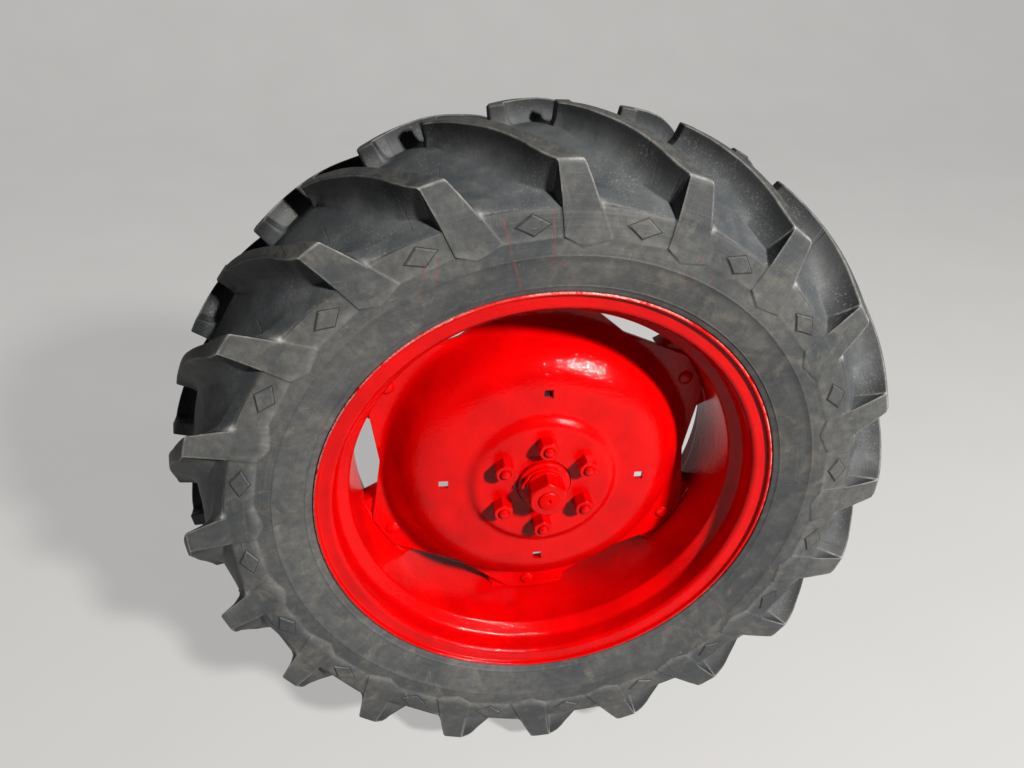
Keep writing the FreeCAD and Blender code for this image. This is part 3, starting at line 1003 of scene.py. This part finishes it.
def loop_form():
    """One bridge of bent plate at angle 0: a web with two legs, its outer edge on the rim's well."""
    bend = 6.0
    thick = 8.0
    inner_bend = 4.0
    inner_cut = 0.8
    back = loop_front + 40.0
    web_back = loop_front + thick
    upper = [
        (loop_front, loop_half_width - bend),
        (loop_front + bend * 0.3, loop_half_width - bend * 0.3),
        (loop_front + bend, loop_half_width),
        (back, loop_half_width),
        (back, loop_half_width - thick),
        (web_back + inner_bend, loop_half_width - thick),
        (web_back, loop_half_width - thick - inner_bend),
    ]
    lower = [(a, -z) for a, z in upper]
    outline = lower[:1] + upper + lower[:0:-1]
    dense = []
    for (a, z), (b, w) in zip(outline, outline[1:] + outline[:1]):
        count = max(1, int(abs(w - z) / 12.0))
        dense += [(a + (b - a) * k / count, z + (w - z) * k / count) for k in range(count)]
    a, z = np.array(dense).T
    flat = loop_inner_r + 0.0 * z
    on_well = np.sqrt(well_r**2 - z**2) - 0.2
    rows = [np.stack([x, MID_Y + a, z], axis=-1) * MM for x in (flat, flat + inner_cut, on_well)]
    count = len(dense)
    faces = grid_faces(len(rows), count, False, True)
    faces.append(list(range(count)))
    faces.append(list(range(2 * count, 3 * count))[::-1])
    return np.concatenate(rows), faces


def weld_form(seed):
    """Lumpy weld bead along a loop's front edge on the rim's well, at angle 0."""
    draw = np.random.default_rng(seed)
    steps = 56
    ring = 8
    half = math.degrees(math.asin(loop_half_width / well_r)) - 0.6
    angles = np.linspace(-half, half, steps)
    size = 3.4 + 0.9 * np.abs(np.sin(np.arange(steps) * 1.9)) + draw.uniform(-0.5, 0.5, steps)
    size[[0, -1]] = 0.6
    turn = np.arange(ring) * 2.0 * math.pi / ring
    r = well_r - 1.2 + size[:, None] * np.cos(turn)
    a = loop_front - 0.6 + size[:, None] * np.sin(turn)
    faces = grid_faces(steps, ring, False, True)
    faces.append(list(range(ring))[::-1])
    faces.append(list(range((steps - 1) * ring, steps * ring)))
    return polar_points(a, r, angles[:, None]).reshape(-1, 3), faces


def carriage_bolt_form():
    """Domed bolt head on the disc's lobe at angle 0, with its shank behind."""
    tail = 37.0
    line = [
        (-5.4, 1.5), (-5.3, 4.0), (-4.8, 7.5), (-3.8, 10.3), (-2.3, 12.4), (-1.0, 13.3), (-0.2, 13.4),
        (0.2, 13.0), (0.2, bolt_r), (tail - 1.0, bolt_r), (tail, bolt_r - 1.0),
    ]
    return rod_form([(flange_front + a, r) for a, r in line], 32, bolt_circle_r)


def stud_form():
    """Hub stud at angle 0, with a domed tip."""
    tip = boss_front - wheel_nut_height - stud_tail
    dome = [(0.0, 1.2), (0.3, 4.0), (1.3, 6.4), (2.6, 8.0), (4.2, 8.8), (6.0, stud_r)]
    line = [(tip + a, r) for a, r in dome]
    line += [(boss_front - 1.0, stud_r), (boss_front - 0.5, stud_r - 0.5)]
    return rod_form(line, 32, stud_circle_r)


rim = make_rim()
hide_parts("rim")
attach(rim, "wheel")

disc = make_disc()
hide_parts("wheel_disc")
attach(disc, "wheel")


def wheel_nuts_form():
    """Six stud nuts, each turned as its spanner left it."""
    turns = (15.0, 40.0, 7.0, 5.0, 1.0, 58.0)
    front = boss_front - wheel_nut_height
    return at_lobes([
        nut_form(front, wheel_nut_height, wheel_nut_af, stud_r, stud_circle_r, turn) for turn in turns
    ])


def hub_form():
    """Hub casting: pilot ring in the disc's bore, flange behind the disc and barrel."""
    pilot_r = 46.0
    flange_r = 104.0
    barrel_r = 58.0
    flange_back = hub_front + 18.0
    line = rounded([
        (pilot_front, hub_seat_r, 0.0, 0),
        (pilot_front, pilot_r, 3.0, 4),
        (hub_front, pilot_r, 0.0, 0),
        (hub_front, flange_r, 1.5, 3),
        (flange_back, flange_r, 3.0, 3),
        (flange_back, barrel_r, 9.0, 5),
        (hub_back, barrel_r, 6.0, 4),
        (hub_back, hub_seat_r, 0.0, 0),
    ])
    return turned_form(line, 120)


def washer_tab_form():
    """Tab of the lock washer at angle 0, bent up beside the nut's collar."""
    half_width = 4.5
    inner_r = 36.2
    outer_r = 39.4
    tab = []
    for depth, lean, narrow in ((3.5, 0.0, 1.0), (0.5, 0.2, 1.0), (-6.0, 1.5, 1.0), (-10.5, 3.5, 0.8)):
        for r, side in ((inner_r, -1.0), (outer_r, -1.0), (outer_r, 1.0), (inner_r, 1.0)):
            z = side * half_width * narrow
            tab.append(((r + lean) * MM, (MID_Y + washer_front + depth) * MM, z * MM))
    faces = grid_faces(4, 4, False, True)
    faces += [[3, 2, 1, 0], [12, 13, 14, 15]]
    return tab, faces


def axle_nut_form():
    """Slender hexagon nut with a round collar, on a lock washer with two bent tabs."""
    washer_r = 38.5
    collar_front = washer_front - 7.0
    nut_height = collar_front + 1.0 - axle_nut_front
    nut = nut_form(axle_nut_front, nut_height, axle_nut_af, shaft_r, 0.0, 30.0, 144)
    collar = turned_form(rounded([
        (collar_front, shaft_r + 0.2, 0.0, 0),
        (collar_front, 34.8, 2.0, 3),
        (washer_front, 35.4, 0.0, 0),
        (washer_front, shaft_r + 0.2, 0.0, 0),
    ]), 96)
    washer = turned_form(rounded([
        (washer_front, shaft_r + 0.3, 0.0, 0),
        (washer_front, washer_r, 1.2, 2),
        (pilot_front, washer_r, 1.2, 2),
        (pilot_front, shaft_r + 0.3, 0.0, 0),
    ]), 96)
    tabs = [spun_form(washer_tab_form(), angle) for angle in (146.0, 163.0)]
    return join_forms([nut, collar, washer, *tabs])


loop_nut = nut_form(loop_front + 22.0, -14.0, 24.0, bolt_r, bolt_circle_r)

# name, form, paint, sharp angle and the node that the piece replaces
red_pieces = [
    ("rim_loop_plates", at_lobes([loop_form()] * lobe_count), disc_paint, 35.0, "rim_loops"),
    ("loop_welds", at_lobes([weld_form(k) for k in range(lobe_count)]), disc_paint, 35.0, None),
    ("carriage_bolts", at_lobes([carriage_bolt_form()] * lobe_count), bolt_paint, 35.0, None),
    ("loop_nut_set", at_lobes([loop_nut] * lobe_count), bolt_paint, 35.0, "loop_nuts"),
    ("hub_studs", at_lobes([stud_form()] * lobe_count), bolt_paint, 35.0, None),
    ("hub_nuts", wheel_nuts_form(), bolt_paint, 28.0, "wheel_nuts"),
    ("hub_casting", hub_form(), cast_paint, 35.0, "hub"),
    ("axle_end_nut", axle_nut_form(), bolt_paint, 28.0, "axle_nut"),
]
for name, form, paint, sharp_angle, replaced in red_pieces:
    piece = make_object(name, *form, paint, sharp_angle)
    if replaced:
        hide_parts(replaced)
    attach(piece, "wheel")


def make_shaft():
    """Half shaft from its centre-drilled outer tip to its splined inner end."""
    segments = 120
    journal_r = 35.0
    journal_end = hub_back + 50.0
    inner_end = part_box("half_shaft")[1].y / MM - MID_Y
    spline_start = inner_end - 75.0
    plain = [
        (shaft_tip + 5.0, 0.6), (shaft_tip + 3.6, 2.2), (shaft_tip + 0.5, 3.4), (shaft_tip, 4.2),
        (shaft_tip, shaft_r - 2.4), (shaft_tip + 0.4, shaft_r - 1.2), (shaft_tip + 1.6, shaft_r),
        (pilot_front + 2.0, shaft_r), (pilot_front + 2.0, hub_seat_r), (hub_back, hub_seat_r),
        (hub_back, journal_r), (journal_end, journal_r), (journal_end + 1.0, shaft_body_r),
        (spline_start - 1.0, shaft_body_r),
    ]
    turn = np.arange(segments) * 2.0 * math.pi / segments
    splined = np.where(np.cos(spline_count * turn) < 0.0, shaft_body_r, spline_root_r)
    rows = [*plain, (spline_start, splined), (inner_end - 1.5, splined), (inner_end, splined - 1.5)]
    points = [polar_points(a, r, np.degrees(turn)) for a, r in rows]
    ends = np.array([[0.0, (MID_Y + a) * MM, 0.0] for a in (rows[0][0], inner_end)])
    return np.concatenate([*points, ends]), rod_faces(len(rows), segments)


shaft = make_object("axle_shaft", *make_shaft(), shaft_material, 30.0)
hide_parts("half_shaft")
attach(shaft, "wheel")

fixed_paints = {"axle_housing": cast_paint, "bearing_retainer": cast_paint, "retainer_bolts": bolt_paint}
for name, paint in fixed_paints.items():
    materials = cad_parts[name].data.materials
    materials.clear()
    materials.append(paint)


def make_camera():
    """Camera at the photograph's place, a little above the wheel and looking down."""
    data = bpy.data.cameras.new("camera")
    data.lens = 26.16
    data.sensor_width = 36.0
    data.clip_start = 0.05
    data.clip_end = 200.0
    camera = bpy.data.objects.new("camera", data)
    right = (0.98998, -0.14000, 0.01795)
    up = (0.05384, 0.49180, 0.86895)
    back = (-0.13052, -0.85928, 0.49457)
    place = (-0.2124, -1.3877, 0.7831)
    turn = Matrix((right, up, back)).transposed().to_4x4()
    camera.matrix_world = Matrix.Translation(place) @ turn
    bpy.context.scene.collection.objects.link(camera)
    bpy.context.scene.camera = camera


def floor_material():
    """Pale floor as seen, and a darker one for the light that it throws back on the wheel."""
    material, shader, place = new_material("pale_floor")
    pale = mix_colour(noise(place, 2.0, 3.0), (0.78, 0.77, 0.75), (0.84, 0.83, 0.81))
    rays = node("ShaderNodeLightPath", tree=place.id_data).outputs
    seen = math_node("MAXIMUM", rays["Is Camera Ray"], rays["Is Glossy Ray"])
    seen = math_node("MAXIMUM", seen, rays["Is Transmission Ray"])
    set_inputs(shader, {
        "Base Color": mix_colour(seen, (0.045, 0.044, 0.043), (0.24, 0.237, 0.233)),
        "Roughness": 0.8,
        "Emission Color": pale,
        "Emission Strength": times(seen, 0.52),
    })
    return material


def make_floor():
    """Floor that rises into a curved backdrop behind the wheel."""
    half_width = 9.0
    near, bend_start, bend_r, top = -7.0, 5.0, 3.0, 9.0
    bend_steps = 16
    line = [(y, 0.0) for y in (near, -2.0, 0.0, 2.0, bend_start)]
    for k in range(1, bend_steps + 1):
        turn = math.radians(90.0 * k / bend_steps)
        line.append((bend_start + bend_r * math.sin(turn), bend_r * (1.0 - math.cos(turn))))
    line.append((bend_start + bend_r, top))
    points = [(x, y, FLOOR_Z + z) for y, z in line for x in (-half_width, half_width)]
    faces = [(2 * k, 2 * k + 1, 2 * k + 3, 2 * k + 2) for k in range(len(line) - 1)]
    floor = make_object("floor", points, faces, floor_material(), outward=False)


def make_light(name, place, size, power, colour):
    """Square lamp aimed at the wheel."""
    data = bpy.data.lights.new(name, "AREA")
    data.shape = "SQUARE"
    data.size = size
    data.energy = power
    data.color = colour
    light = bpy.data.objects.new(name, data)
    aim = Vector((0.0, -0.35, 0.0)) - Vector(place)
    light.rotation_mode = "QUATERNION"
    light.rotation_quaternion = aim.to_track_quat("-Z", "Y")
    light.location = place
    bpy.context.scene.collection.objects.link(light)


def make_world():
    world = bpy.data.worlds.new("studio")
    world.use_nodes = True
    set_inputs(world.node_tree.nodes["Background"], {"Color": (1.0, 1.0, 1.0, 1.0), "Strength": 0.03})
    bpy.context.scene.world = world


make_camera()
make_floor()
make_light("key", (2.55, -3.85, 2.70), 0.45, 480.0, (1.0, 0.98, 0.95))
make_light("fill", (-3.2, -2.8, 2.0), 2.6, 2.5, (0.95, 0.97, 1.0))
make_world()
bpy.context.scene.view_settings.view_transform = "Standard"
